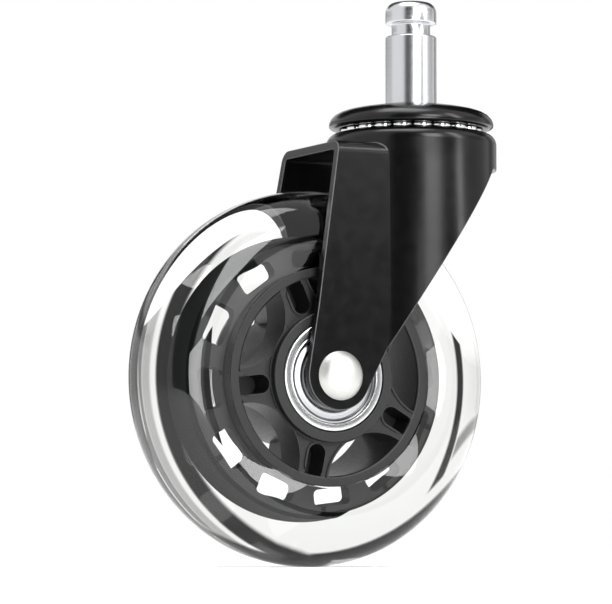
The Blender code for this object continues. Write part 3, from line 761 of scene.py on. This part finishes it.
RIM_INNER_R = 19.9
RIM_OUTER_R = 22.1
RIM_HALF = 10.3
FLANGE_HALF = 2.8
BOSS_R = 13.2
BORE_R = 11.15
BOSS_HALF = 12.0
STOP_R = 9.6
STOP_HALF = 4.85
WEB_FRONT = -10.2
WEB_BACK = -2.2
SPOKES = 5
BITE_R = 10.6
BITE_PITCH_R = 23.8
BITE_ANGLE = 222.6
SLOT_ANGLE = 186.6
SLOT_HALF = 1.85
SLOT_FLOOR = -4.2
WINDOWS = 12
WINDOW_ANGLE = 6.0
WINDOW_R = 24.8
WINDOW_TALL = 3.4
WINDOW_WIDE = 8.3
LIP_WIDE = 0.42
LIP_PROUD = 0.3
RIB_HALF = 1.2
RIB_TOP = 9.5
THROUGH = 30
CROWN_DEEP = 11.0
CROWN_POWER = 2.3
CROWN_BITS = 40
BOND_DEEP = 0.5
FOOT_HALF = 10.5


def web_ring(name, inner, outer, low, high):
    """A plain ring about the axle, used to build and to trim the web."""
    return on_axle(name, [(outer, low), (outer, high), (inner, high), (inner, low)], steps=120)


def bite_outline(grown=0.0):
    """The round opening between two spokes, grown by a margin."""
    return swung(arc((BITE_PITCH_R, 0), BITE_R + grown, 0, 360, 73)[:-1], BITE_ANGLE)


def slot_outline():
    """The slot along a spoke, which runs out into the rim."""
    return swung(rounded_bar(BOSS_R + 0.6, RIM_INNER_R + 2, SLOT_HALF, 1.8, 9), SLOT_ANGLE)


def make_core(nylon, bonded):
    """The moulded core: boss, spoked web, rim, and the windowed flange that the tyre is cast round."""
    flange_r = (CORE_HIGH.x - CORE_LOW.x) / 2
    outline = filleted([
        (RIM_OUTER_R, -RIM_HALF, 0.3), (RIM_OUTER_R, -FLANGE_HALF, 0.4), (flange_r, -FLANGE_HALF, 0.6),
        (flange_r, FLANGE_HALF, 0.6), (RIM_OUTER_R, FLANGE_HALF, 0.4), (RIM_OUTER_R, RIM_HALF, 0.3),
        (RIM_INNER_R, RIM_HALF, 0.5), (RIM_INNER_R, -RIM_HALF, 0.5)])
    core = on_axle("moulded_core", outline, steps=144)

    web = web_ring("web", BOSS_R - 1.0, RIM_INNER_R + 1.1, WEB_FRONT, WEB_BACK)
    combine(web, ring_of(slab("bite", bite_outline(), -THROUGH, THROUGH), SPOKES))
    combine(web, ring_of(slab("slot", slot_outline(), -THROUGH, SLOT_FLOOR), SPOKES))
    along = swung(rounded_bar(BOSS_R - 1, RIM_INNER_R + 1.1, RIB_HALF, 0.2), SLOT_ANGLE)
    combine(web, ring_of(slab("rib", along, WEB_BACK - 1, RIB_TOP), SPOKES), "UNION")
    combine(core, web, "UNION")

    boss = filleted([
        (BOSS_R, -BOSS_HALF, 0.3), (BOSS_R, BOSS_HALF, 0.3), (BORE_R, BOSS_HALF, 0.2),
        (BORE_R, STOP_HALF), (STOP_R, STOP_HALF), (STOP_R, -STOP_HALF), (BORE_R, -STOP_HALF),
        (BORE_R, -BOSS_HALF, 0.2)])
    combine(core, on_axle("boss", boss, steps=144), "UNION")

    low, high = WINDOW_R - WINDOW_TALL / 2, WINDOW_R + WINDOW_TALL / 2
    side = WINDOW_WIDE / 2
    opening = filleted([(low, side, 1.1), (low, -side, 1.1), (high, -side, 1.1), (high, side, 1.1)])
    combine(core, ring_of(slab("window", swung(opening, WINDOW_ANGLE), -10, 10), WINDOWS))
    clean_cuts(core)
    fit(core, nylon, "wheel_assembly", "black_nylon", "hub_core")
    core.data.materials.append(bonded)
    under_tyre = (RIM_OUTER_R - 0.05) * MM
    for face in core.data.polygons:
        from_axle = math.hypot(face.center.x - AXLE.x * MM, face.center.z - AXLE.z * MM)
        face.material_index = 1 if from_axle > under_tyre else 0
    return core


def make_web_lips(nylon):
    """The thin raised beads that edge the boss, the openings and the slots on the near side."""
    low, high = WEB_FRONT - LIP_PROUD, WEB_FRONT + 0.2
    lips = web_ring("moulded_edge_beads", BOSS_R, BOSS_R + LIP_WIDE, low, high)
    bead = slab("bite_bead", bite_outline(LIP_WIDE), low, high)
    combine(bead, slab("bite_inside", bite_outline(), -THROUGH, THROUGH))
    beads = ring_of(bead, SPOKES)
    combine(beads, web_ring("trim", BOSS_R + 0.1, RIM_INNER_R + 0.2, -20, 0), "INTERSECT")
    combine(lips, beads, "UNION")
    around_slot = rounded_bar(BOSS_R + 0.25, RIM_INNER_R + 0.3, SLOT_HALF + LIP_WIDE, 2.2, 9)
    slot = slab("slot_bead", swung(around_slot, SLOT_ANGLE), low, high)
    combine(slot, slab("slot_gap", slot_outline(), -THROUGH, 0))
    combine(lips, ring_of(slot, SPOKES), "UNION")
    clean_cuts(lips)
    return fit(lips, nylon, "wheel_assembly", "black_nylon")


def make_tyre(urethane):
    """The clear tyre, bonded to the rim and cast round the flange, whose windows it fills."""
    crown = []
    for index in range(CROWN_BITS + 1):
        turn = math.pi / 2 - math.pi * index / CROWN_BITS
        out = max(0.0, math.cos(turn)) ** (2 / CROWN_POWER)
        side = math.copysign(abs(math.sin(turn)) ** (2 / CROWN_POWER), math.sin(turn))
        crown.append((WHEEL_R - CROWN_DEEP + CROWN_DEEP * out, TYRE_HALF * side))
    foot = [
        (RIM_OUTER_R - BOND_DEEP, FOOT_HALF - 0.6), (RIM_OUTER_R - 0.05, FOOT_HALF - 0.15),
        (RIM_OUTER_R + 0.2, FOOT_HALF)]
    outline = [*foot, *crown, *[(r, -y) for r, y in reversed(foot)]]
    tyre = on_axle("clear_tyre", outline, steps=240)
    return fit(tyre, urethane, "wheel_assembly", "clear_urethane", "tyre")


def dress_cad_nodes(finishes):
    """CAD nodes whose shape is right stay, and take the material of the real part."""
    for material, nodes in finishes:
        for node in nodes:
            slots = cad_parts[node].data.materials
            slots.clear()
            slots.append(material)


# ---------------------------------------------------------------- the studio

FLOOR_SIZE = 2400.0
FLOOR_THICK = 5.0
FLAG_RADIUS = 640.0
LIT_POINT = Vector((-20, 0, -45))


def make_floor():
    """A pale matt sheet under the wheel."""
    bpy.ops.object.select_all(action="DESELECT")
    bpy.ops.mesh.primitive_plane_add(size=FLOOR_SIZE * MM, location=(AXLE.x * MM, 0, FLOOR_Z * MM))
    floor = bpy.context.object
    floor.name = "studio_floor"
    bpy.ops.object.mode_set(mode="EDIT")
    bpy.ops.mesh.select_all(action="SELECT")
    bpy.ops.mesh.subdivide(number_cuts=6)
    bpy.ops.mesh.extrude_region_move(TRANSFORM_OT_translate={"value": (0, 0, -FLOOR_THICK * MM)})
    close_up(floor)
    select_only(floor)
    bpy.ops.object.transform_apply(location=True, rotation=True, scale=True)
    floor.data.materials.append(studio_paper())


def felt_card(name, azimuth, half_width, elevation, half_height, soft, depth):
    """Black felt whose edges fade out, so that its reflection has soft ends; angles in degrees."""
    material, shader = new_material(name, "#050505", 0.95, Specular_IOR_Level=0.0)
    spun = add_node(
        material, "VectorRotate", {"rotation_type": "Z_AXIS"}, {"Angle": math.radians(90 - azimuth)},
        Vector=(around(material, AXLE), "Vector"))
    split = add_node(material, "SeparateXYZ", Vector=(spun, "Vector"))
    across = add_node(material, "Math", {"operation": "ARCTAN2"}, None, _0=(split, "Y"), _1=(split, "X"))
    length = add_node(material, "VectorMath", {"operation": "LENGTH"}, None, _0=(spun, "Vector"))
    rise = add_node(material, "Math", {"operation": "DIVIDE"}, None, _0=(split, "Z"), _1=(length, "Value"))
    up = add_node(material, "Math", {"operation": "ARCSINE"}, None, _0=(rise, "Value"))
    off = add_node(
        material, "Math", {"operation": "SUBTRACT"}, {1: math.radians(elevation)}, _0=(up, "Value"))
    fades = []
    for angle, half, full in ((across, half_width, depth), (off, half_height, 1.0)):
        size = add_node(material, "Math", {"operation": "ABSOLUTE"}, None, _0=(angle, "Value"))
        fades.append(add_node(
            material, "MapRange", {"interpolation_type": "SMOOTHSTEP"},
            {"From Min": math.radians(half), "From Max": math.radians(half - soft),
             "To Min": 0.0, "To Max": full},
            Value=(size, "Value")))
    cover = add_node(
        material, "Math", {"operation": "MULTIPLY"}, None,
        _0=(fades[0], "Result"), _1=(fades[1], "Result"))
    link_into(shader, Alpha=(cover, "Value"))
    return material


def add_flag(name, azimuth, half_width, elevation, half_height, soft, depth=1.0):
    """A curved black card round the caster that only reflections and the clear tyre see."""
    low, high = elevation - half_height, elevation + half_height
    turns = [math.radians(low + (high - low) * i / 12) for i in range(13)]
    start = math.radians(azimuth - half_width)
    facing = Vector((math.sin(start), -math.cos(start), 0))
    points = [
        (AXLE + (facing * math.cos(t) + Vector((0, 0, math.sin(t)))) * FLAG_RADIUS) * MM for t in turns]
    card = drawn_edge(name, points, closed=False)
    bpy.ops.mesh.select_all(action="SELECT")
    bpy.ops.mesh.spin(
        steps=24, angle=-math.radians(2 * half_width), center=AXLE * MM, axis=(0, 0, 1))
    close_up(card)
    card.data.materials.append(felt_card(
        name + "_felt", azimuth, half_width, elevation, half_height, soft, depth))
    card.visible_camera = False
    card.visible_diffuse = False
    card.visible_shadow = False
    smooth(card)


def make_flags():
    """The dark parts of the room, each as an azimuth from -Y towards +X and an elevation, in degrees."""
    add_flag("front_flag", -32, 27, 20, 38, soft=8)
    add_flag("front_right_flag", 24, 13, 3, 14, soft=4)
    add_flag("right_flag", 72, 22, 22, 16, soft=10, depth=0.55)
    add_flag("stem_flag", -150, 28, 15, 3.5, soft=2.5, depth=0.7)
    add_flag("back_left_flag", 138, 8, 8, 30, soft=3)
    add_flag("left_grey_flag", 119, 8, 10, 30, soft=4, depth=0.5)
    add_flag("side_left_flag", 106, 8, 0, 30, soft=3, depth=0.8)
    add_flag("back_right_flag", 178, 5, 2, 20, soft=2.5)
    add_flag("high_back_flag", 150, 60, 48, 21, soft=4)


def add_light(name, size, place, power):
    """A flat soft light, its size and place in millimetres, turned to face the caster's middle."""
    light = bpy.data.lights.new(name, "AREA")
    light.shape = "RECTANGLE"
    light.size, light.size_y = size[0] * MM, size[1] * MM
    light.energy = power
    obj = bpy.data.objects.new(name, light)
    bpy.context.scene.collection.objects.link(obj)
    obj.location = Vector(place) * MM
    obj.rotation_mode = "QUATERNION"
    obj.rotation_quaternion = (LIT_POINT - Vector(place)).to_track_quat("-Z", "Y")


def add_soft_box(name, size, azimuth, height, distance, glow):
    """A soft light at an azimuth from -Y towards +X, as bright to the eye as glow times white paper."""
    turn = math.radians(azimuth)
    place = (AXLE.x + distance * math.sin(turn), -distance * math.cos(turn), height)
    power = math.pi * size[0] * size[1] * MM * MM * glow
    add_light(name, size, place, power)


def make_lights():
    """One light overhead, one up the right flank, two in front, and an even white room."""
    add_light("overhead", (420, 300), (-90, -40, 560), 2.0)
    add_soft_box("right_strip", (90, 500), 41, 300, 600, 9.0)
    add_soft_box("front_low_box", (260, 124), -5, -29, 600, 8.0)
    add_soft_box("front_box", (230, 300), 4, 240, 540, 8.0)
    world = bpy.data.worlds.new("studio")
    world.use_nodes = True
    room = world.node_tree.nodes["Background"]
    room.inputs["Color"].default_value = linear("#FFFFFF")
    room.inputs["Strength"].default_value = 1.0
    bpy.context.scene.world = world


CAMERA_AZIMUTH = 26.65
CAMERA_YAW = 26.63
CAMERA_DISTANCE = 700.0
CAMERA_HEIGHT = 5.0
CAMERA_PITCH = 3.97
CAMERA_LENS = 203.5


def make_camera():
    """A long lens low over the floor, to the left of the wheel's near side and tipped up slightly."""
    azimuth = math.radians(CAMERA_AZIMUTH)
    yaw, pitch = math.radians(CAMERA_YAW), math.radians(CAMERA_PITCH)
    place = Vector((
        AXLE.x - CAMERA_DISTANCE * math.sin(azimuth),
        -CAMERA_DISTANCE * math.cos(azimuth),
        FLOOR_Z + CAMERA_HEIGHT))
    ahead = Vector((
        math.sin(yaw) * math.cos(pitch), math.cos(yaw) * math.cos(pitch), math.sin(pitch)))
    data = bpy.data.cameras.new("camera")
    data.lens = CAMERA_LENS
    data.sensor_width = 36.0
    data.clip_start, data.clip_end = 0.02, 20.0
    camera = bpy.data.objects.new("camera", data)
    bpy.context.scene.collection.objects.link(camera)
    camera.location = place * MM
    camera.rotation_mode = "QUATERNION"
    camera.rotation_quaternion = ahead.to_track_quat("-Z", "Y")
    bpy.context.scene.camera = camera


# ---------------------------------------------------------------- everything together

def main():
    bpy.context.scene.view_settings.view_transform = "Standard"
    zinc, ground = bright_zinc_plate(), ground_bearing_steel()
    shield, satin, mirror = pressed_shield_steel(), satin_rivet_steel(), polished_ball_steel()
    black, nylon, urethane = gloss_black_powder_coat(), moulded_black_nylon(), cast_clear_urethane()
    make_stem(zinc)
    make_cap(black)
    make_cup(zinc)
    make_upper_balls(mirror)
    make_fork(black, thin_coat_and_painted_edge_highlight())
    make_rivet(satin)
    make_bearing("near", -1, ground, shield)
    make_bearing("far", 1, ground, shield)
    make_core(nylon, bonded_black_nylon())
    make_web_lips(nylon)
    make_tyre(urethane)
    dress_cad_nodes([
        (zinc, ["axle_sleeve", "bearing_spacer", "near_washer", "far_washer"]),
        (mirror, ["lower_ball_ring", "near_ball_cage", "far_ball_cage"]),
        (shield, ["near_inner_shield", "far_inner_shield"])])
    make_floor()
    make_flags()
    make_lights()
    make_camera()


main()
